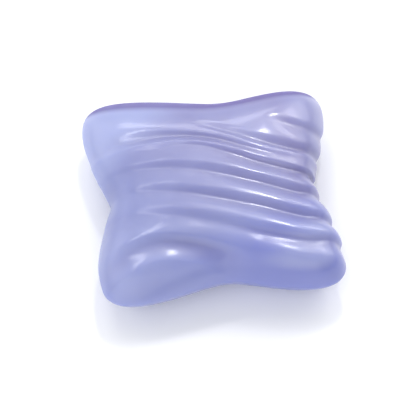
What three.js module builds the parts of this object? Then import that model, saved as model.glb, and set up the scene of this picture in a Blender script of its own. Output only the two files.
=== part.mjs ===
// A square four-lobed cushion of carved and polished chalcedony, in millimetres, +Z up.
// It rests on its flat base, with +Y to the back and the flutes running from left to right.
import * as THREE from 'three';
import { mergeGeometries, mergeVertices } from 'three/addons/utils/BufferGeometryUtils.js';

// Outline from above: a rounded square, pinched in at the middle of each side
const HALF_WIDTH = 12.45;
const HALF_LENGTH = 11.99;
const CORNER_POWER = 6.7;
const PINCH_POWER = 1.5;
// at: where along the side the pinch is deepest. reach: how far it runs each way.
// soft: how round its bottom is.
const PINCHES = [
  { side: 'right', at: 0.2, depth: 2.45, reach: 12.0, soft: 0.15 },
  { side: 'left', at: -0.4, depth: 2.3, reach: 10.7, soft: 0.05 },
  { side: 'back', at: 2.2, depth: 1.52, reach: 13.0, soft: 0.08 },
  { side: 'front', at: 0.5, depth: 2.0, reach: 11.1, soft: 0.4 },
];
// Shells further in have softer and shallower pinches.
const INNER_SOFTNESS = 2.0;
const PINCH_FADE = 3.0;

// The pinches leave the outline's box off centre, at this place, which moves to the origin.
const BOX_CENTRE = new THREE.Vector2(-0.162, 0.054);

// Heights, and the underside that curves in to the flat base
const GIRDLE_HEIGHT = 3.4;
const CROWN_RISE = 3.6;
const BASE_SHARE = 0.74;
const UNDERSIDE_POWER = 1.35;

// Share of the radius that the crown's slope takes: wide where a side is pinched in, narrow on some lobes
const SIDE_SLOPES = { left: 0.3, right: 0.22, front: 0.3, back: 0.32 };
const LOBE_SLOPES = { frontLeft: 0.21, backLeft: 0.28, frontRight: 0.07, backRight: 0.17 };
const SLOPE_TURN = 6.0;
const CROWN_MIDDLE = 4.0;
const CREST_POWER = 1.3;
const GIRDLE_ROUNDING = 0.05;

// Flutes, from the back to the front. soft: how round a groove's floor is.
// crest: how round the ridge behind it is. points: where the floor runs (x, y) and how deep it is.
const GROOVES = [
  { soft: 0.4, crest: 2, points: [
    [5.5, 6.6, 0], [7, 6.1, 0.1], [8.5, 5.55, 0.18], [10, 5.35, 0.22], [12.5, 5.5, 0.2],
  ] },
  { soft: 0.6, crest: 2.2, points: [
    [-1.5, 6.9, 0], [2.6, 5, 0.1], [4.5, 3.98, 0.16], [8, 2.82, 0.24], [10, 2.78, 0.24], [12.5, 3.15, 0.2],
  ] },
  { soft: 0.6, crest: 2.6, points: [
    [-12.5, 5, 0.04], [-8, 5.25, 0.14], [-4, 5.45, 0.2], [0, 4.8, 0.17], [4, 3.05, 0.1], [7, 1.9, 0.03],
    [12.5, 1.1, 0],
  ] },
  { soft: 0.4, crest: 1.8, points: [
    [-12.5, 3.82, 0], [-6, 3.87, 0.02], [-1.4, 3.9, 0.09], [2.4, 2.45, 0.19], [4.2, 1.62, 0.26],
    [8, 0.4, 0.36], [10, 0.35, 0.36], [12.5, 0.6, 0.3],
  ] },
  { soft: 0.3, crest: 1.6, points: [
    [-12.5, 1.9, 0.02], [-8, 1.85, 0.07], [-4, 1.5, 0.13], [0, 0.57, 0.2], [4, -0.8, 0.29], [8, -2.15, 0.38],
    [10, -2, 0.38], [12.5, -1.5, 0.3],
  ] },
  { soft: 0.3, crest: 2.2, points: [
    [-12.5, -0.55, 0.02], [-8, -0.67, 0.07], [-4, -1.24, 0.14], [0, -2.28, 0.22], [4, -3.58, 0.32],
    [8, -4.98, 0.42], [10, -5.1, 0.44], [12.5, -4.7, 0.38],
  ] },
  { soft: 0.4, crest: 2, points: [
    [-12.5, -3.3, 0.02], [-8, -3.32, 0.07], [-4, -4.05, 0.08], [0, -5.15, 0.12], [2.5, -6.12, 0.2],
    [4, -6.72, 0.3], [8, -7.88, 0.4], [10, -7.9, 0.4], [12.5, -7.4, 0.34],
  ] },
  { soft: 0.8, crest: 1.7, points: [
    [-12.5, -9.1, 0.1], [-10.5, -8.4, 0.18], [-9.2, -7.75, 0.22], [-7.2, -7.05, 0.24], [-5.3, -6.85, 0.32],
    [-2.5, -7.35, 0.4], [0, -8.2, 0.24], [2.5, -9.2, 0],
  ] },
];
// A ridge's crest lies nearer the groove in front of it: its back slope is gentle and its front flank steep.
const CREST_SHARE = 0.62;
const WIDEST_SLOPE = 2.2;
const NARROWEST_SLOPE = 0.3;
const FIRST_SLOPE = 1.0;
const LAST_SLOPE = 1.7;
const LAST_CREST = 1.15;

// Facets: rows run across the flutes, columns along them, rings down the underside
const ROWS = 92;
const COLUMNS = 40;
const RINGS = 4;
const EDGE_GATHERING = 0.35;
const EDGE_POWER = 1.35;
const DIFFERENCE_STEP = 1e-3;
const WELD_DISTANCE = 1e-4;

const clamp = THREE.MathUtils.clamp;

// Valley of depth 1 at u = 0, gone from u = 1 on, whose sharp bottom is rounded by a softness
function valley(u, softness, power) {
  const softened = (distance) => Math.hypot(distance, softness) - softness;
  return Math.max(1 - softened(u) / softened(1), 0) ** power;
}

function pinchDip(pinch, along, share) {
  const softness = Math.hypot(pinch.soft, INNER_SOFTNESS * (1 - share));
  return pinch.depth * share ** PINCH_FADE * valley((along - pinch.at) / pinch.reach, softness, PINCH_POWER);
}

// Radius in the direction (cos, sin) of the outline, less pinched for shells at a share of the way out
function outlineRadius(cos, sin, share) {
  const square = (Math.abs(cos / HALF_WIDTH) ** CORNER_POWER + Math.abs(sin / HALF_LENGTH) ** CORNER_POWER)
    ** (-1 / CORNER_POWER);
  const x = square * cos;
  const y = square * sin;
  const sides = {
    right: [y, x / HALF_WIDTH],
    left: [y, -x / HALF_WIDTH],
    back: [x, y / HALF_LENGTH],
    front: [x, -y / HALF_LENGTH],
  };
  const dip = (pinch) => {
    const [along, facing] = sides[pinch.side];
    return pinchDip(pinch, along, share) * Math.max(facing, 0);
  };
  return square - PINCHES.reduce((sum, pinch) => sum + dip(pinch), 0);
}

// Share of the radius that the crown's slope takes at (x, y)
function slopeShare(x, y) {
  const { lerp, smoothstep } = THREE.MathUtils;
  const rightward = smoothstep(x, -SLOPE_TURN, SLOPE_TURN);
  const backward = smoothstep(y, -SLOPE_TURN, SLOPE_TURN);
  const facing = (x * x - y * y) / (x * x + y * y + CROWN_MIDDLE ** 2);
  const side = facing > 0
    ? lerp(SIDE_SLOPES.left, SIDE_SLOPES.right, rightward)
    : lerp(SIDE_SLOPES.front, SIDE_SLOPES.back, backward);
  const leftLobe = lerp(LOBE_SLOPES.frontLeft, LOBE_SLOPES.backLeft, backward);
  const rightLobe = lerp(LOBE_SLOPES.frontRight, LOBE_SLOPES.backRight, backward);
  return lerp(lerp(leftLobe, rightLobe, rightward), side, facing ** 2);
}

// Steep at first, then levelling off towards 1, for a distance in from the girdle
function climb(inward) {
  const rounded = Math.sqrt(inward * inward + 2 * GIRDLE_ROUNDING * inward);
  return rounded / (1 + rounded ** CREST_POWER) ** (1 / CREST_POWER);
}

// Height of the smooth crown at a share of the radius from the middle (0) to the girdle (1)
function crownHeight(share, x, y) {
  const full = 1 / (2 * slopeShare(x, y));
  return GIRDLE_HEIGHT + CROWN_RISE * climb(full * Math.max(1 - share * share, 0)) / climb(full);
}

// Crown point for a place (s, t) on a square from -1 to 1, whose shells gather towards the girdle
function smoothCrown(s, t) {
  const shell = Math.min(Math.max(Math.abs(s), Math.abs(t)), 1);
  const reach = Math.hypot(s, t);
  const [cos, sin] = reach > 0 ? [s / reach, t / reach] : [1, 0];
  const share = EDGE_GATHERING * Math.sin(shell * Math.PI / 2)
    + (1 - EDGE_GATHERING) * (1 - (1 - shell) ** EDGE_POWER);
  const radius = share * outlineRadius(cos, sin, share);
  return new THREE.Vector3(radius * cos, radius * sin, crownHeight(share, radius * cos, radius * sin));
}

// Level outward normal of the girdle in the direction of (x, y)
function girdleNormal(x, y) {
  const girdlePoint = (angle) => {
    const radius = outlineRadius(Math.cos(angle), Math.sin(angle), 1);
    return new THREE.Vector2(radius * Math.cos(angle), radius * Math.sin(angle));
  };
  const angle = Math.atan2(y, x);
  const along = girdlePoint(angle + DIFFERENCE_STEP).sub(girdlePoint(angle - DIFFERENCE_STEP));
  return new THREE.Vector3(along.y, -along.x, 0).normalize();
}

function crownNormal(s, t) {
  const alongS = smoothCrown(s + DIFFERENCE_STEP, t).sub(smoothCrown(s - DIFFERENCE_STEP, t));
  const alongT = smoothCrown(s, t + DIFFERENCE_STEP).sub(smoothCrown(s, t - DIFFERENCE_STEP));
  return alongS.cross(alongT).normalize();
}

// Smooth curve through the points of a groove, straight on beyond its ends: [y, depth] at x
function grooveAt(points, x) {
  const last = points.length - 1;
  const tangent = (i, k) => {
    const before = points[Math.max(i - 1, 0)];
    const after = points[Math.min(i + 1, last)];
    return (after[k] - before[k]) / (after[0] - before[0]);
  };
  const held = clamp(x, points[0][0], points[last][0]);
  const i = clamp(points.findLastIndex((point) => point[0] <= held), 0, last - 1);
  const span = points[i + 1][0] - points[i][0];
  const u = (held - points[i][0]) / span;
  const value = (k) => (2 * u ** 3 - 3 * u ** 2 + 1) * points[i][k]
    + (u ** 3 - 2 * u ** 2 + u) * span * tangent(i, k)
    + (3 * u ** 2 - 2 * u ** 3) * points[i + 1][k]
    + (u ** 3 - u ** 2) * span * tangent(i + 1, k);
  const beyond = (x - held) * tangent(x < held ? 0 : last, 1);
  return [value(1) + beyond, Math.max(value(2), 0)];
}

// How deep the flutes are cut below the smooth crown at (x, y)
function fluteDepth(x, y) {
  const floors = GROOVES.map((groove) => grooveAt(groove.points, x));
  const crests = [...GROOVES.map((groove) => groove.crest), LAST_CREST];
  return floors.reduce((depth, [floor, cut], k) => {
    const behind = k > 0 ? (floors[k - 1][0] - floor) * (1 - CREST_SHARE) : FIRST_SLOPE;
    const ahead = k < floors.length - 1 ? (floor - floors[k + 1][0]) * CREST_SHARE : LAST_SLOPE;
    const width = clamp(y > floor ? behind : ahead, NARROWEST_SLOPE, WIDEST_SLOPE);
    const crest = y > floor ? crests[k] : crests[k + 1];
    return depth + cut * valley((y - floor) / width, GROOVES[k].soft, crest);
  }, 0);
}

// Place on the square for a column and row of the crown's grid, from its back left corner
function gridPlace(column, row) {
  return [2 * column / COLUMNS - 1, 1 - 2 * row / ROWS];
}

// Splits each cell of a plane along the diagonal that runs with the flutes, back left to front right
function splitAlongFlutes(geometry) {
  const index = geometry.index.array;
  for (let i = 0; i < index.length; i += 6) {
    const [backLeft, frontLeft, backRight, , frontRight] = index.slice(i, i + 6);
    index.set([backLeft, frontLeft, frontRight, backLeft, frontRight, backRight], i);
  }
}

function crownGeometry() {
  const geometry = new THREE.PlaneGeometry(2, 2, COLUMNS, ROWS);
  splitAlongFlutes(geometry);
  const position = geometry.attributes.position;
  for (let row = 0; row <= ROWS; row += 1) {
    for (let column = 0; column <= COLUMNS; column += 1) {
      const [s, t] = gridPlace(column, row);
      const onRim = row % ROWS === 0 || column % COLUMNS === 0;
      const point = smoothCrown(s, t);
      const normal = onRim ? girdleNormal(point.x, point.y) : crownNormal(s, t);
      point.addScaledVector(normal, -fluteDepth(point.x, point.y));
      position.setXYZ(row * (COLUMNS + 1) + column, point.x, point.y, point.z);
    }
  }
  return geometry;
}

// Rim of the crown's grid, anticlockwise from its front left corner
function rimPlaces() {
  const places = [];
  for (let column = 0; column < COLUMNS; column += 1) places.push(gridPlace(column, ROWS));
  for (let row = ROWS; row > 0; row -= 1) places.push(gridPlace(COLUMNS, row));
  for (let column = COLUMNS; column > 0; column -= 1) places.push(gridPlace(column, 0));
  for (let row = 0; row < ROWS; row += 1) places.push(gridPlace(0, row));
  return places;
}

// Point of the underside at a rim place, from the girdle (turn 0) to the edge of the base (turn 1)
function undersidePoint([s, t], turn) {
  const angle = turn * Math.PI / 2;
  const inward = Math.cos(angle) ** (2 / UNDERSIDE_POWER);
  const share = BASE_SHARE + (1 - BASE_SHARE) * inward;
  const rim = smoothCrown(s, t);
  const cut = girdleNormal(rim.x, rim.y).multiplyScalar(fluteDepth(rim.x, rim.y) * inward);
  const height = GIRDLE_HEIGHT * (1 - Math.sin(angle) ** (2 / UNDERSIDE_POWER));
  return new THREE.Vector3(rim.x * share - cut.x, rim.y * share - cut.y, height);
}

function undersideGeometry(places) {
  const geometry = new THREE.PlaneGeometry(1, 1, places.length, RINGS);
  const position = geometry.attributes.position;
  for (let i = 0; i < position.count; i += 1) {
    const place = places[(i % (places.length + 1)) % places.length];
    const turn = Math.floor(i / (places.length + 1)) / RINGS;
    const point = undersidePoint(place, turn);
    position.setXYZ(i, point.x, point.y, point.z);
  }
  return geometry;
}

function baseGeometry(places) {
  const outline = places.map((place) => undersidePoint(place, 1));
  const shape = new THREE.Shape(outline.map((point) => new THREE.Vector2(point.x, point.y)));
  const geometry = new THREE.ShapeGeometry(shape);
  const index = geometry.index.array;
  for (let i = 0; i < index.length; i += 3) [index[i], index[i + 1]] = [index[i + 1], index[i]];
  return geometry;
}

function stoneGeometry() {
  const places = rimPlaces();
  const faces = [crownGeometry(), undersideGeometry(places), baseGeometry(places)];
  faces.forEach((face) => {
    face.deleteAttribute('normal');
    face.deleteAttribute('uv');
  });
  const geometry = mergeVertices(mergeGeometries(faces), WELD_DISTANCE);
  geometry.translate(-BOX_CENTRE.x, -BOX_CENTRE.y, 0);
  geometry.computeVertexNormals();
  return geometry;
}

const stone = new THREE.Mesh(
  stoneGeometry(),
  new THREE.MeshStandardMaterial({ name: 'chalcedony', color: 0xa0a5dc, roughness: 0.15, metalness: 0 }),
);
stone.name = 'chalcedony';

const group = new THREE.Group();
group.add(stone);

export default group;
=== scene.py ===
import math

import bpy
import numpy as np
from bpy.props import FloatProperty, FloatVectorProperty, IntProperty, PointerProperty
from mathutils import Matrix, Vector


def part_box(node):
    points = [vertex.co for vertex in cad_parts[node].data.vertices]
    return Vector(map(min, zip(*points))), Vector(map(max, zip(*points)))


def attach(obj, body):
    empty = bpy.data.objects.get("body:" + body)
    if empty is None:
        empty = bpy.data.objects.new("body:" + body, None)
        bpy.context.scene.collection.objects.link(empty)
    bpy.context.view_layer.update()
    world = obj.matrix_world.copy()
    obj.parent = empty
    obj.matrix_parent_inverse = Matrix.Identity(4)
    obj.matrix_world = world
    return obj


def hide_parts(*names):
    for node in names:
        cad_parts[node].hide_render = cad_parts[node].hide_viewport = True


bl_info = {
    "name": "Carved chalcedony cushion",
    "version": (1, 0, 0),
    "blender": (4, 5, 0),
    "location": "View3D > Sidebar > Chalcedony",
    "description": "Makes a fluted cushion of blue chalcedony with its floor, lights and camera",
    "category": "Add Mesh",
}

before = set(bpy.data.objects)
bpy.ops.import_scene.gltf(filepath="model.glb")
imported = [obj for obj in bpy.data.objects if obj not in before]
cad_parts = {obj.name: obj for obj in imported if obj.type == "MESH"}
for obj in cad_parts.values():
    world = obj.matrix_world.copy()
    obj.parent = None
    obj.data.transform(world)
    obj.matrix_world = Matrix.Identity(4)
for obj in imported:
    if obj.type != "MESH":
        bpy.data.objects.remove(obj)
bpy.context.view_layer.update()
STONE_LOW, STONE_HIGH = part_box("chalcedony")
MM = 0.001

# Outline from above, in millimetres: a rounded square, pinched in at the middle of each side
HALF_WIDTH = 12.45
HALF_LENGTH = 11.99
CORNER_POWER = 6.7
PINCH_POWER = 1.5
# at: where along the side the pinch is deepest. reach: how far it runs each way.
# soft: how round its bottom is.
PINCHES = {
    "right": {"at": 0.2, "depth": 2.45, "reach": 12.0, "soft": 0.15},
    "left": {"at": -0.4, "depth": 2.3, "reach": 10.7, "soft": 0.05},
    "back": {"at": 2.2, "depth": 1.52, "reach": 13.0, "soft": 0.08},
    "front": {"at": 0.5, "depth": 2.0, "reach": 11.1, "soft": 0.4},
}
# Shells further in have softer and shallower pinches.
INNER_SOFTNESS = 2.0
PINCH_FADE = 3.0
BOX_CENTRE = (-0.162, 0.054)

# Heights in millimetres, and the underside that curves in to the flat base
GIRDLE_HEIGHT = 3.4
CROWN_RISE = 3.6
BASE_SHARE = 0.74
UNDERSIDE_POWER = 1.35

# How much of the radius the crown's slope takes: wide where a side is pinched in, and narrow on some lobes
SIDE_SLOPES = {"left": 0.3, "right": 0.22, "front": 0.3, "back": 0.32}
LOBE_SLOPES = {"front_left": 0.21, "back_left": 0.28, "front_right": 0.07, "back_right": 0.17}
SLOPE_TURN = 6.0
CROWN_MIDDLE = 4.0
CREST_POWER = 1.3
GIRDLE_ROUNDING = 0.05

# Flutes, from the back to the front. soft: how round a groove's floor is.
# crest: how round the ridge behind it is. points: where its floor runs (x, y) and how deep it is.
GROOVES = [
    {"soft": 0.4, "crest": 2, "points": [
        (5.5, 6.6, 0), (7, 6.1, 0.1), (8.5, 5.55, 0.18), (10, 5.35, 0.22), (12.5, 5.5, 0.2),
    ]},
    {"soft": 0.6, "crest": 2.2, "points": [
        (-1.5, 6.9, 0), (2.6, 5, 0.1), (4.5, 3.98, 0.16), (8, 2.82, 0.24), (10, 2.78, 0.24),
        (12.5, 3.15, 0.2),
    ]},
    {"soft": 0.6, "crest": 2.6, "points": [
        (-12.5, 5, 0.04), (-8, 5.25, 0.14), (-4, 5.45, 0.2), (0, 4.8, 0.17), (4, 3.05, 0.1),
        (7, 1.9, 0.03), (12.5, 1.1, 0),
    ]},
    {"soft": 0.4, "crest": 1.8, "points": [
        (-12.5, 3.82, 0), (-6, 3.87, 0.02), (-1.4, 3.9, 0.09), (2.4, 2.45, 0.19), (4.2, 1.62, 0.26),
        (8, 0.4, 0.36), (10, 0.35, 0.36), (12.5, 0.6, 0.3),
    ]},
    {"soft": 0.3, "crest": 1.6, "points": [
        (-12.5, 1.9, 0.02), (-8, 1.85, 0.07), (-4, 1.5, 0.13), (0, 0.57, 0.2), (4, -0.8, 0.29),
        (8, -2.15, 0.38), (10, -2, 0.38), (12.5, -1.5, 0.3),
    ]},
    {"soft": 0.3, "crest": 2.2, "points": [
        (-12.5, -0.55, 0.02), (-8, -0.67, 0.07), (-4, -1.24, 0.14), (0, -2.28, 0.22), (4, -3.58, 0.32),
        (8, -4.98, 0.42), (10, -5.1, 0.44), (12.5, -4.7, 0.38),
    ]},
    {"soft": 0.4, "crest": 2, "points": [
        (-12.5, -3.3, 0.02), (-8, -3.32, 0.07), (-4, -4.05, 0.08), (0, -5.15, 0.12), (2.5, -6.12, 0.2),
        (4, -6.72, 0.3), (8, -7.88, 0.4), (10, -7.9, 0.4), (12.5, -7.4, 0.34),
    ]},
    {"soft": 0.8, "crest": 1.7, "points": [
        (-12.5, -9.1, 0.1), (-10.5, -8.4, 0.18), (-9.2, -7.75, 0.22), (-7.2, -7.05, 0.24),
        (-5.3, -6.85, 0.32), (-2.5, -7.35, 0.4), (0, -8.2, 0.24), (2.5, -9.2, 0),
    ]},
]
# A ridge's crest lies nearer the groove in front of it.
# So its back slope is gentle and its front flank steep.
CREST_SHARE = 0.62
WIDEST_SLOPE = 2.2
NARROWEST_SLOPE = 0.3
FIRST_SLOPE = 1.0
LAST_SLOPE = 1.7
LAST_CREST = 1.15

# How the mesh gathers its shells towards the girdle, and how far it stays inside the solid's box
EDGE_GATHERING = 0.35
EDGE_POWER = 1.35
FIT_CLEARANCE = 0.01 * MM
SMALLEST_REACH = 1e-9

# Zones of the stone whose colour, polish, painted shade or painted light differs. A zone is a product of
# fades (across, back, start, full): along the direction (across, back), a fade is 0 before start and 1 past
# full, in millimetres.
ZONES = {
    "blush": [(0.9, 1, -9, 14)],
    # Painted shade: the shade zone makes the front right a darker, stronger blue.
    "shade": [(0.7, -1.6, 7, 18)],
    # Painted light: the front left, back left, front right and back right zones make those lobes paler, as
    # lit.
    "front_left": [(-0.5, -1, 7, 13)],
    "back_left": [(-1.1, 1.3, 11, 19)],
    "front_right": [(1, -1, 12, 17)],
    "back_right": [(1, 1, 13, 19)],
    # Painted shade: the pinch zone darkens the hollow where the right side pinches in.
    "pinch": [(1, 0, 6, 10), (0, 1, -4, 0), (0, -1, -6, -3)],
    "worn": [(-0.32, -1, 5.2, 6), (1, 0, 0, 3), (-1, 0, -9, -5.5)],
    "satin": [(-1, -0.3, -3, -1.2), (0.16, 1, -6.1, -5.1), (0, -1, -5, -3.5)],
}
# The front right zone is only the crown's level part, which starts at one height and is full at the next.
LEVEL_HEIGHTS = (5.2, 6.2)
# A darker heart is full within the first radius and gone past the second.
HEART_CENTRE = (-1.5, 0.8)
HEART_RADII = (3.16, 7.75)
# Flute depth at which the grooves' painted shade is full, in millimetres
DEEPEST_FLUTE = 0.4
# The back edge, painted darker as shade and made matt, starts and is full where the surface faces back by
# these shares.
BACK_FACING = (0.34, 0.56)

# How strongly each feature, painted shade and painted light shows in the colour, and how much of the gloss is
# missing from a zone
# Painted light: how much paler and milkier each lobe is made
LOBE_LIGHT_TINTS = {"front_left": 0.38, "back_left": 1.0, "front_right": 0.35, "back_right": 0.3}
CLOUD_TINT = 0.28
BAND_TINT = 0.06
# Painted shade: how strongly the front right is darkened
SHADE_TINT = 0.8
# Painted shade: how strongly the flutes' floors are darkened
FLUTE_SHADE_TINT = 0.25
# Painted shade: how strongly the right side's pinch is darkened
PINCH_SHADE_TINT = 0.25
HEART_TINT = 0.12
# Painted shade: how strongly the back-facing edge is darkened
BACK_EDGE_SHADE_TINT = 0.8
LOST_GLOSS = {"satin": 0.6, "worn": 0.62}

# Clouds, growth bands and the marks of a hand polish
CLOUDS = {"scale": 170, "detail": 3, "distortion": 0.6}
CLOUD_EDGES = (0.35, 0.75)
BANDS = {"Scale": 60, "Distortion": 5, "Detail": 2, "Detail Scale": 0.6}
RIPPLES = {"scale": 420, "detail": 1}
RIPPLE_HEIGHT = 0.6
GRAIN = {"scale": 5000, "detail": 2}
GRAIN_HEIGHT = 0.05
BUMP_STRENGTH = 0.12
BUMP_HEIGHT = 0.03 * MM
POLISH = {"scale": 900, "detail": 3}
POLISH_SPREAD = 0.08
EDGE_ROUGHNESS = 0.5
COAT_ROUGHNESS = 0.12
STONE_IOR = 1.54
GLOW_SPREAD = (0.6, 0.7, 1.0)

# Floor: half its size in metres, and a faint mottle
FLOOR_HALF_SIZE = 1.0
FLOOR_ROUGHNESS = 0.75
FLOOR_MOTTLE = {"scale": 25, "detail": 2}
FLOOR_SHADE = 0.985

# The photograph's view: camera turned a little to the left of the front, high above the table
CAMERA_RISE = math.radians(57)
CAMERA_TURN = math.radians(-6.1)
CAMERA_DISTANCE = 0.35
CAMERA_TARGET = Vector((-0.368, -1.624, 3.4)) * MM
PICTURE_WIDTH = 420
PIXEL_SIZE = 0.097 * MM
SENSOR_WIDTH = 36
NEAREST_SEEN = 0.01

# Lights. bearing: degrees from straight behind, clockwise from above. rise: degrees above the table.
# spread: degrees. distance, width and height: metres. power: watts.
LIGHTS = {
    "window": {
        "bearing": -6, "rise": 38, "distance": 0.8,
        "width": 0.4, "height": 0.1, "spread": 75, "power": 0.12,
    },
    "side_window": {
        "bearing": -52, "rise": 26, "distance": 0.8,
        "width": 0.6, "height": 0.5, "spread": 110, "power": 0.37,
    },
    "strip": {
        "bearing": -28, "rise": 58, "distance": 0.8,
        "width": 0.36, "height": 0.08, "spread": 75, "power": 0.12,
    },
    "right_window": {
        "bearing": 46, "rise": 34, "distance": 0.8,
        "width": 0.7, "height": 0.6, "spread": 75, "power": 0.5,
    },
    "corner_window": {
        "bearing": 34, "rise": 40, "distance": 0.8,
        "width": 0.25, "height": 0.16, "spread": 75, "power": 0.09,
    },
    "front_fill": {
        "bearing": -150, "rise": 34, "distance": 0.8,
        "width": 1.4, "height": 1.0, "spread": 120, "power": 2.35,
    },
    "lamp": {
        "bearing": 15.3, "rise": 54.5, "distance": 0.53,
        "width": 0.04, "height": 0.1, "spread": 180, "power": 0.46,
    },
}
LIGHT_TARGET = Vector((0, 0, 5)) * MM


class StoneSettings(bpy.types.PropertyGroup):
    """Sizes and colours of the stone"""

    width: FloatProperty(
        name="Width",
        description="Size of the stone from left to right",
        default=STONE_HIGH.x - STONE_LOW.x,
        unit="LENGTH",
        precision=5,
    )
    flute_depth: FloatProperty(
        name="Flute depth",
        description="How deep the flutes are cut, as a share of their carved depth",
        default=1.0,
        min=0.0,
        max=1.5,
        subtype="FACTOR",
    )
    columns: IntProperty(
        name="Columns",
        description="Mesh cells from left to right",
        default=190,
        min=20,
        max=240,
    )
    rows: IntProperty(
        name="Rows",
        description="Mesh cells from back to front",
        default=290,
        min=40,
        max=360,
    )
    rings: IntProperty(
        name="Rings",
        description="Mesh cells down the underside",
        default=10,
        min=3,
        max=20,
    )
    body_colour: FloatVectorProperty(
        name="Body colour",
        description="Milky blue of most of the stone",
        default=(0.21, 0.232, 0.46),
        size=3,
        min=0,
        max=1,
        subtype="COLOR",
    )
    blush_colour: FloatVectorProperty(
        name="Blush colour",
        description="Warmer lavender of the right and back of the stone",
        default=(0.25, 0.24, 0.445),
        size=3,
        min=0,
        max=1,
        subtype="COLOR",
    )
    # Painted shade: this stronger blue darkens the front right of the stone, except its level part.
    painted_shade_blue: FloatVectorProperty(
        name="Shade colour",
        description="Stronger blue of the front right of the stone",
        default=(0.175, 0.2, 0.5),
        size=3,
        min=0,
        max=1,
        subtype="COLOR",
    )
    # Painted shade: this purple darkens the flutes' floors, the right side's pinch and the back-facing edge,
    # and also gives the darker middle.
    painted_shade_purple: FloatVectorProperty(
        name="Deep colour",
        description="Purple of the clear stone in the grooves and along the back edge",
        default=(0.11, 0.085, 0.26),
        size=3,
        min=0,
        max=1,
        subtype="COLOR",
    )
    # Used for the stone's pale clouds, and also for the painted light that makes the lobes paler.
    cloud_and_lobe_light_colour: FloatVectorProperty(
        name="Milk colour",
        description="Pale cloud in the stone",
        default=(0.33, 0.365, 0.61),
        size=3,
        min=0,
        max=1,
        subtype="COLOR",
    )
    translucency: FloatProperty(
        name="Translucency",
        description="Share of the light that spreads through the stone",
        default=0.6,
        min=0,
        max=1,
        subtype="FACTOR",
    )
    glow_depth: FloatProperty(
        name="Glow depth",
        description="How far light spreads below the surface",
        default=0.002,
        min=0,
        max=0.01,
        unit="LENGTH",
        precision=5,
    )
    roughness: FloatProperty(
        name="Roughness",
        description="Roughness of the milky body",
        default=0.36,
        min=0.02,
        max=0.6,
        subtype="FACTOR",
    )
    gloss: FloatProperty(
        name="Gloss",
        description="Strength of the polished surface's sharp reflections",
        default=0.5,
        min=0,
        max=1,
        subtype="FACTOR",
    )


class StageSettings(bpy.types.PropertyGroup):
    """Colours and strengths of the floor and the lights"""

    floor_colour: FloatVectorProperty(
        name="Floor colour",
        description="Pale table under the stone",
        default=(0.97, 0.97, 0.97),
        size=3,
        min=0,
        max=1,
        subtype="COLOR",
    )
    surround_colour: FloatVectorProperty(
        name="Surround colour",
        description="Light that comes from all round",
        default=(0.92, 0.94, 1.0),
        size=3,
        min=0,
        max=1,
        subtype="COLOR",
    )
    surround: FloatProperty(
        name="Surround strength",
        description="Strength of the light from all round",
        default=0.63,
        min=0,
        max=3,
    )
    light_strength: FloatProperty(
        name="Light strength",
        description="Multiplies the power of every light",
        default=1.0,
        min=0,
        max=10,
    )


# Shape of the stone, in millimetres
def smoothstep(value, low, high):
    share = np.clip((value - low) / (high - low), 0, 1)
    return share * share * (3 - 2 * share)


def mix(first, second, share):
    return first + (second - first) * share


def unit(vectors):
    return vectors / np.linalg.norm(vectors, axis=-1, keepdims=True)


def valley(u, soft, power):
    """1 at the bottom of a valley and 0 from u = 1 on, with its sharp bottom rounded by soft."""
    share = (np.hypot(u, soft) - soft) / (np.hypot(1, soft) - soft)
    return np.maximum(1 - share, 0) ** power


def pinch_dip(pinch, along, share):
    """How far a pinch cuts in, for a shell at a share of the way out."""
    soft = np.hypot(pinch["soft"], INNER_SOFTNESS * (1 - share))
    depth = pinch["depth"] * share**PINCH_FADE
    return depth * valley((along - pinch["at"]) / pinch["reach"], soft, PINCH_POWER)


def outline_radius(cos, sin, share):
    """Radius of the outline in the direction (cos, sin), for a shell at a share of the way out."""
    square = np.abs(cos / HALF_WIDTH) ** CORNER_POWER + np.abs(sin / HALF_LENGTH) ** CORNER_POWER
    radius = square ** (-1 / CORNER_POWER)
    x = radius * cos
    y = radius * sin
    facing = {
        "right": (y, x / HALF_WIDTH),
        "left": (y, -x / HALF_WIDTH),
        "back": (x, y / HALF_LENGTH),
        "front": (x, -y / HALF_LENGTH),
    }
    dips = 0
    for side, (along, out) in facing.items():
        dips = dips + pinch_dip(PINCHES[side], along, share) * np.maximum(out, 0)
    return radius - dips


def slope_share(x, y):
    """Share of the radius that the crown's slope takes at (x, y)."""
    rightward = smoothstep(x, -SLOPE_TURN, SLOPE_TURN)
    backward = smoothstep(y, -SLOPE_TURN, SLOPE_TURN)
    facing = (x * x - y * y) / (x * x + y * y + CROWN_MIDDLE**2)
    side = np.where(
        facing > 0,
        mix(SIDE_SLOPES["left"], SIDE_SLOPES["right"], rightward),
        mix(SIDE_SLOPES["front"], SIDE_SLOPES["back"], backward),
    )
    left_lobe = mix(LOBE_SLOPES["front_left"], LOBE_SLOPES["back_left"], backward)
    right_lobe = mix(LOBE_SLOPES["front_right"], LOBE_SLOPES["back_right"], backward)
    return mix(mix(left_lobe, right_lobe, rightward), side, facing**2)


def climb(inward):
    """Steep at first, then levelling off towards 1, for a distance in from the girdle."""
    rounded = np.sqrt(inward * inward + 2 * GIRDLE_ROUNDING * inward)
    return rounded / (1 + rounded**CREST_POWER) ** (1 / CREST_POWER)


def crown_height(share, x, y):
    """Height of the smooth crown at a share of the radius from the middle (0) to the girdle (1)."""
    full = 1 / (2 * slope_share(x, y))
    return GIRDLE_HEIGHT + CROWN_RISE * climb(full * np.maximum(1 - share * share, 0)) / climb(full)


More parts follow.
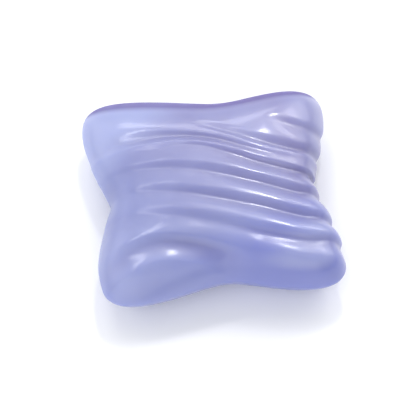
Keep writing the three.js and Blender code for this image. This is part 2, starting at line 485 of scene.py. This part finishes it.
def groove_at(points, x):
    """Smooth curve through a groove's points, straight on beyond its ends: its y and its depth at x."""
    points = np.array(points, float)
    tangents = np.gradient(points, axis=0)
    tangents = tangents[:, 1:] / tangents[:, :1]
    held = np.clip(x, points[0, 0], points[-1, 0])
    i = np.clip(np.searchsorted(points[:, 0], held, side="right") - 1, 0, len(points) - 2)
    span = points[i + 1, 0] - points[i, 0]
    u = (held - points[i, 0]) / span
    values = []
    for k in (0, 1):
        values.append(
            (2 * u**3 - 3 * u**2 + 1) * points[i, k + 1]
            + (u**3 - 2 * u**2 + u) * span * tangents[i, k]
            + (3 * u**2 - 2 * u**3) * points[i + 1, k + 1]
            + (u**3 - u**2) * span * tangents[i + 1, k]
        )
    beyond = (x - held) * np.where(x < held, tangents[0, 0], tangents[-1, 0])
    return values[0] + beyond, np.maximum(values[1], 0)


def flute_depth(x, y):
    """How deep the flutes are cut below the smooth crown at (x, y)."""
    floors = [groove_at(groove["points"], x) for groove in GROOVES]
    crests = [groove["crest"] for groove in GROOVES] + [LAST_CREST]
    depth = np.zeros_like(x)
    for k, (floor, cut) in enumerate(floors):
        behind = FIRST_SLOPE if k == 0 else (floors[k - 1][0] - floor) * (1 - CREST_SHARE)
        ahead = LAST_SLOPE if k == len(floors) - 1 else (floor - floors[k + 1][0]) * CREST_SHARE
        width = np.clip(np.where(y > floor, behind, ahead), NARROWEST_SLOPE, WIDEST_SLOPE)
        crest = np.where(y > floor, crests[k], crests[k + 1])
        depth += cut * valley((y - floor) / width, GROOVES[k]["soft"], crest)
    return depth


# Mesh of the stone, in millimetres
def smooth_crown(columns, rows):
    """Grid of points on the crown before the flutes are cut, from its front left corner."""
    s, t = np.meshgrid(np.linspace(-1, 1, columns + 1), np.linspace(-1, 1, rows + 1))
    shell = np.maximum(np.abs(s), np.abs(t))
    reach = np.hypot(s, t)
    cos = np.where(reach > 0, s / np.maximum(reach, SMALLEST_REACH), 1)
    sin = np.where(reach > 0, t / np.maximum(reach, SMALLEST_REACH), 0)
    share = mix(1 - (1 - shell) ** EDGE_POWER, np.sin(shell * math.pi / 2), EDGE_GATHERING)
    radius = share * outline_radius(cos, sin, share)
    x = radius * cos
    y = radius * sin
    return np.stack([x, y, crown_height(share, x, y)], axis=-1)


def crown_faces(columns, rows):
    """Faces of the crown's grid, each anticlockwise from its front left point."""
    stride = columns + 1
    corner = (np.arange(rows)[:, None] * stride + np.arange(columns)).ravel()
    return np.stack([corner, corner + 1, corner + 1 + stride, corner + stride], axis=-1).tolist()


def rim_cells(columns, rows):
    """Row and column of each point round the grid's rim, anticlockwise from its front left corner."""
    cells = [(0, column) for column in range(columns)]
    cells += [(row, columns) for row in range(rows)]
    cells += [(rows, column) for column in range(columns, 0, -1)]
    cells += [(row, 0) for row in range(rows, 0, -1)]
    return np.array(cells)


def rim_outward(rim):
    """Level direction that points straight out of the rim at each of its points."""
    along = np.roll(rim, -1, axis=0) - np.roll(rim, 1, axis=0)
    return unit(np.stack([along[:, 1], -along[:, 0], np.zeros(len(rim))], axis=-1))


def underside_ring(rim, outward, rim_depth, turn):
    """One ring of the underside and its flute depths, for a turn from 0 at the girdle to a right angle."""
    fade = max(math.cos(turn), 0) ** (2 / UNDERSIDE_POWER)
    points = rim * mix(BASE_SHARE, 1, fade) - outward * rim_depth[:, None] * fade
    points[:, 2] = GIRDLE_HEIGHT * (1 - math.sin(turn) ** (2 / UNDERSIDE_POWER))
    return points, rim_depth * fade


def carved_stone(columns, rows, rings, depth_share):
    """Vertices, faces, and for each vertex its flute depth and how far it faces back."""
    smooth = smooth_crown(columns, rows)
    normals = unit(np.cross(np.gradient(smooth, axis=1), np.gradient(smooth, axis=0)))
    cells = rim_cells(columns, rows)
    rim = smooth[cells[:, 0], cells[:, 1]]
    outward = rim_outward(rim)
    normals[cells[:, 0], cells[:, 1]] = outward
    depth = flute_depth(smooth[..., 0], smooth[..., 1]) * depth_share
    crown = smooth - normals * depth[..., None]

    vertices = [crown.reshape(-1, 3)]
    faces = crown_faces(columns, rows)
    depths = [depth.ravel()]
    facing = [normals[..., 1].ravel()]
    upper = cells[:, 0] * (columns + 1) + cells[:, 1]
    rim_depth = depth[cells[:, 0], cells[:, 1]]
    for ring in range(1, rings + 1):
        points, ring_depth = underside_ring(rim, outward, rim_depth, ring / rings * math.pi / 2)
        lower = np.arange(len(rim)) + sum(len(part) for part in vertices)
        vertices.append(points)
        depths.append(ring_depth)
        facing.append(outward[:, 1])
        faces += np.stack([upper, lower, np.roll(lower, -1), np.roll(upper, -1)], axis=-1).tolist()
        upper = lower
    faces.append(upper[::-1].tolist())
    measures = {"flute": np.concatenate(depths), "backward": np.concatenate(facing)}
    return np.concatenate(vertices), faces, measures


def fit_to_frame(vertices, width):
    """Moves the stone's box to the CAD solid's, a hair inside it, and scales it to the width asked for."""
    vertices = (vertices - np.array([*BOX_CENTRE, 0])) * MM
    low, high = vertices.min(axis=0), vertices.max(axis=0)
    room_low = np.array(STONE_LOW) + FIT_CLEARANCE
    room_high = np.array(STONE_HIGH) - FIT_CLEARANCE
    scale = (room_high - room_low) / (high - low)
    scale *= width / (STONE_HIGH.x - STONE_LOW.x)
    centre = (room_low + room_high) / 2
    fitted = (vertices - (low + high) / 2) * scale + centre
    fitted[:, 2] = (vertices[:, 2] - low[2]) * scale[2] + STONE_LOW.z
    return fitted


def stone_object(settings):
    """The stone as an object, with its flute depths and facing kept on its mesh for the material."""
    vertices, faces, measures = carved_stone(
        settings.columns, settings.rows, settings.rings, settings.flute_depth
    )
    mesh = bpy.data.meshes.new("chalcedony_cushion")
    mesh.from_pydata(fit_to_frame(vertices, settings.width).tolist(), [], faces)
    mesh.update()
    mesh.polygons.foreach_set("use_smooth", [True] * (len(faces) - 1) + [False])
    for name, values in measures.items():
        attribute = mesh.attributes.new(name, "FLOAT", "POINT")
        attribute.data.foreach_set("value", values)
    stone = bpy.data.objects.new("chalcedony_cushion", mesh)
    bpy.context.scene.collection.objects.link(stone)
    return stone


# Shader maths
class Channel:
    """A number in a material. Arithmetic on it adds Math nodes."""

    def __init__(self, material, socket):
        self.material = material
        self.socket = socket

    def combine(self, operation, first, second):
        return self.material.node("ShaderNodeMath", {"operation": operation}, {0: first, 1: second})

    def __add__(self, other):
        return self.combine("ADD", self, other)

    def __radd__(self, other):
        return self.combine("ADD", other, self)

    def __sub__(self, other):
        return self.combine("SUBTRACT", self, other)

    def __rsub__(self, other):
        return self.combine("SUBTRACT", other, self)

    def __mul__(self, other):
        return self.combine("MULTIPLY", self, other)

    def __rmul__(self, other):
        return self.combine("MULTIPLY", other, self)

    def ramp(self, low, high):
        """0 below low, 1 above high, and a smooth step between."""
        return self.material.node(
            "ShaderNodeMapRange",
            {"interpolation_type": "SMOOTHSTEP"},
            {"Value": self, "From Min": low, "From Max": high},
        )


class Material:
    """A node material under construction."""

    # Places of a Mix node's sockets when it mixes colours
    MIX_SHARE = 0
    MIX_FIRST = 6
    MIX_SECOND = 7
    MIX_RESULT = 2

    def __init__(self, name):
        self.data = bpy.data.materials.new(name)
        self.data.use_nodes = True
        self.tree = self.data.node_tree
        self.shader = self.tree.nodes["Principled BSDF"]

    def set(self, socket, value):
        """Gives a socket a number, a colour or another node's output."""
        if isinstance(value, Channel):
            self.tree.links.new(value.socket, socket)
        elif socket.type == "RGBA":
            socket.default_value = (*value, 1)
        else:
            socket.default_value = value

    def node(self, kind, settings=None, inputs=None, output=0):
        """Adds a node, sets it up, feeds its sockets and returns one of its outputs."""
        node = self.tree.nodes.new(kind)
        for name, value in (settings or {}).items():
            setattr(node, name, value)
        for name, value in (inputs or {}).items():
            self.set(node.inputs[name], value)
        return Channel(self, node.outputs[output])

    def blend(self, first, second, share):
        """Colour between two colours."""
        sockets = {self.MIX_SHARE: share, self.MIX_FIRST: first, self.MIX_SECOND: second}
        return self.node("ShaderNodeMix", {"data_type": "RGBA"}, sockets, output=self.MIX_RESULT)

    def axes(self, place):
        """The x, y and z of a place."""
        split = self.node("ShaderNodeSeparateXYZ", {}, {"Vector": place}).socket.node
        return [Channel(self, output) for output in split.outputs]

    def noise(self, place, scale, detail, distortion=0.0):
        sockets = {"Vector": place, "Scale": scale, "Detail": detail, "Distortion": distortion}
        return self.node("ShaderNodeTexNoise", {}, sockets)

    def measure(self, name):
        """A number kept on each point of the mesh."""
        return self.node("ShaderNodeAttribute", {"attribute_name": name}, output="Fac")

    def finish(self, sockets):
        for name, value in sockets.items():
            self.set(self.shader.inputs[name], value)
        return self.data


# Materials
def stone_zones(stone, place):
    """Masks for the zones of the stone, each 1 where its colour, polish, painted shade or painted light
    differs most.
    """
    x, y, z = stone.axes(place)
    zones = {}
    for name, fades in ZONES.items():
        zones[name] = math.prod(
            (x * across + y * back).ramp(start * MM, full * MM) for across, back, start, full in fades
        )
    level_start, level_full = LEVEL_HEIGHTS
    zones["front_right"] *= z.ramp(level_start * MM, level_full * MM)
    # The painted shade at the front right leaves out the crown's level part there.
    zones["shade"] *= 1 - zones["front_right"]

    off_x = x - HEART_CENTRE[0] * MM
    off_y = y - HEART_CENTRE[1] * MM
    near, far = HEART_RADII
    zones["heart"] = 1 - (off_x * off_x + off_y * off_y).ramp((near * MM) ** 2, (far * MM) ** 2)
    return zones


def stone_colour(stone, place, zones, edge, settings):
    """Milky blue with soft clouds and faint growth bands, painted light on the lobes, and painted shade in
    the grooves, pinch, back edge and front right.
    """
    cloud = stone.noise(place, **CLOUDS).ramp(*CLOUD_EDGES)
    bands = stone.node(
        "ShaderNodeTexWave",
        {"wave_type": "BANDS", "bands_direction": "DIAGONAL"},
        {"Vector": place, **BANDS},
        output="Fac",
    )
    # Painted light: the lobes are made paler and milkier, as lit.
    painted_lobe_light = sum(zones[name] * strength for name, strength in LOBE_LIGHT_TINTS.items())
    # Painted shade: the flutes' floors are a darker purple, more so the deeper they are cut.
    groove = stone.measure("flute").ramp(0, DEEPEST_FLUTE)
    tints = [
        (settings.blush_colour, zones["blush"]),
        (settings.cloud_and_lobe_light_colour, cloud * CLOUD_TINT + bands * BAND_TINT),
        # Painted shade: a darker, stronger blue over the front right
        (settings.painted_shade_blue, zones["shade"] * SHADE_TINT),
        # Painted light on the lobes
        (settings.cloud_and_lobe_light_colour, painted_lobe_light),
        # Painted shade in the flutes' floors
        (settings.painted_shade_purple, groove * FLUTE_SHADE_TINT),
        # Painted shade in the right side's pinch, and a darker middle
        (settings.painted_shade_purple, zones["pinch"] * PINCH_SHADE_TINT + zones["heart"] * HEART_TINT),
        # Painted shade along the back-facing edge
        (settings.painted_shade_purple, edge * BACK_EDGE_SHADE_TINT),
    ]
    colour = settings.body_colour
    for tint, share in tints:
        colour = stone.blend(colour, tint, share)
    return colour


def stone_bump(stone, place):
    """The low ripples and fine grain that a hand polish leaves."""
    height = stone.noise(place, **RIPPLES) * RIPPLE_HEIGHT + stone.noise(place, **GRAIN) * GRAIN_HEIGHT
    sockets = {"Strength": BUMP_STRENGTH, "Distance": BUMP_HEIGHT, "Height": height}
    return stone.node("ShaderNodeBump", {}, sockets)


def chalcedony(settings):
    """Milky, slightly translucent stone under a hand polish that is softer in places."""
    stone = Material("chalcedony")
    place = stone.node("ShaderNodeTexCoord", output="Object")
    zones = stone_zones(stone, place)
    # The back-facing edge: painted shade in the colour, and a rougher finish without the coat.
    edge = stone.measure("backward").ramp(*BACK_FACING)
    polish = stone.noise(place, **POLISH) - 0.5
    lost_gloss = sum(zones[name] * share for name, share in LOST_GLOSS.items())
    return stone.finish({
        "Base Color": stone_colour(stone, place, zones, edge, settings),
        "Roughness": settings.roughness + edge * EDGE_ROUGHNESS + polish * POLISH_SPREAD,
        "Coat Weight": (1 - edge) * (1 - lost_gloss) * settings.gloss,
        "Coat Roughness": COAT_ROUGHNESS,
        "Coat IOR": STONE_IOR,
        "Normal": stone_bump(stone, place),
        "IOR": STONE_IOR,
        "Subsurface Weight": settings.translucency,
        "Subsurface Radius": GLOW_SPREAD,
        "Subsurface Scale": settings.glow_depth,
    })


def pale_floor(settings):
    """Nearly white table with a faint mottle."""
    floor = Material("pale_floor")
    place = floor.node("ShaderNodeTexCoord", output="Object")
    shade = [FLOOR_SHADE * part for part in settings.floor_colour]
    return floor.finish({
        "Base Color": floor.blend(shade, settings.floor_colour, floor.noise(place, **FLOOR_MOTTLE)),
        "Roughness": FLOOR_ROUGHNESS,
    })


# Stage
def from_bearing(bearing, rise, distance):
    """Point at a bearing clockwise from straight behind and an angle of rise, both in degrees."""
    level = math.cos(math.radians(rise)) * distance
    return Vector((
        math.sin(math.radians(bearing)) * level,
        math.cos(math.radians(bearing)) * level,
        math.sin(math.radians(rise)) * distance,
    ))


def add_light(name, light, strength):
    data = bpy.data.lights.new(name, "AREA")
    data.shape = "RECTANGLE"
    data.size = light["width"]
    data.size_y = light["height"]
    data.spread = math.radians(light["spread"])
    data.energy = light["power"] * strength
    lamp = bpy.data.objects.new(name, data)
    lamp.location = from_bearing(light["bearing"], light["rise"], light["distance"])
    lamp.rotation_euler = (LIGHT_TARGET - lamp.location).to_track_quat("-Z", "Y").to_euler()
    bpy.context.scene.collection.objects.link(lamp)


def add_camera():
    back = Vector((
        math.sin(CAMERA_TURN) * math.cos(CAMERA_RISE),
        -math.cos(CAMERA_TURN) * math.cos(CAMERA_RISE),
        math.sin(CAMERA_RISE),
    ))
    data = bpy.data.cameras.new("camera")
    data.sensor_width = SENSOR_WIDTH
    data.lens = SENSOR_WIDTH * CAMERA_DISTANCE / (PICTURE_WIDTH * PIXEL_SIZE)
    data.clip_start = NEAREST_SEEN
    camera = bpy.data.objects.new("camera", data)
    camera.location = CAMERA_TARGET + back * CAMERA_DISTANCE
    camera.rotation_euler = (-back).to_track_quat("-Z", "Y").to_euler()
    bpy.context.scene.collection.objects.link(camera)
    bpy.context.scene.camera = camera


def add_surround(settings):
    world = bpy.data.worlds.new("surround")
    world.use_nodes = True
    background = world.node_tree.nodes["Background"]
    background.inputs["Color"].default_value = (*settings.surround_colour, 1)
    background.inputs["Strength"].default_value = settings.surround
    bpy.context.scene.world = world


def add_floor(settings):
    half = FLOOR_HALF_SIZE
    corners = [(-half, -half, 0), (half, -half, 0), (half, half, 0), (-half, half, 0)]
    mesh = bpy.data.meshes.new("floor")
    mesh.from_pydata(corners, [], [(0, 1, 2, 3)])
    mesh.materials.append(pale_floor(settings))
    floor = bpy.data.objects.new("floor", mesh)
    bpy.context.scene.collection.objects.link(floor)


# Operators and panel
class AddStage(bpy.types.Operator):
    """Adds the pale floor, the soft lights and the camera"""

    bl_idname = "chalcedony.add_stage"
    bl_label = "Add Stage"

    def execute(self, context):
        settings = context.scene.chalcedony_stage
        context.scene.view_settings.view_transform = "Standard"
        add_surround(settings)
        add_floor(settings)
        for name, light in LIGHTS.items():
            add_light(name, light, settings.light_strength)
        add_camera()
        return {"FINISHED"}


class AddStone(bpy.types.Operator):
    """Adds the fluted cushion of chalcedony in place of its CAD solid"""

    bl_idname = "chalcedony.add_stone"
    bl_label = "Add Stone"

    def execute(self, context):
        settings = context.scene.chalcedony_stone
        stone = stone_object(settings)
        stone.data.materials.append(chalcedony(settings))
        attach(stone, "root")
        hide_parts("chalcedony")
        return {"FINISHED"}


class ChalcedonyPanel(bpy.types.Panel):
    """Lists the stone's and the stage's settings and buttons"""

    bl_idname = "VIEW3D_PT_chalcedony"
    bl_label = "Chalcedony Cushion"
    bl_space_type = "VIEW_3D"
    bl_region_type = "UI"
    bl_category = "Chalcedony"

    def draw(self, context):
        sections = [
            (context.scene.chalcedony_stage, AddStage),
            (context.scene.chalcedony_stone, AddStone),
        ]
        for settings, operator in sections:
            box = self.layout.box()
            for name in type(settings).__annotations__:
                box.prop(settings, name)
            box.operator(operator.bl_idname)


CLASSES = [StoneSettings, StageSettings, AddStage, AddStone, ChalcedonyPanel]


def register():
    for cls in CLASSES:
        bpy.utils.register_class(cls)
    bpy.types.Scene.chalcedony_stone = PointerProperty(type=StoneSettings)
    bpy.types.Scene.chalcedony_stage = PointerProperty(type=StageSettings)


def unregister():
    del bpy.types.Scene.chalcedony_stage
    del bpy.types.Scene.chalcedony_stone
    for cls in reversed(CLASSES):
        bpy.utils.unregister_class(cls)


def main():
    register()
    bpy.ops.chalcedony.add_stage()
    bpy.ops.chalcedony.add_stone()


if __name__ == "__main__":
    main()
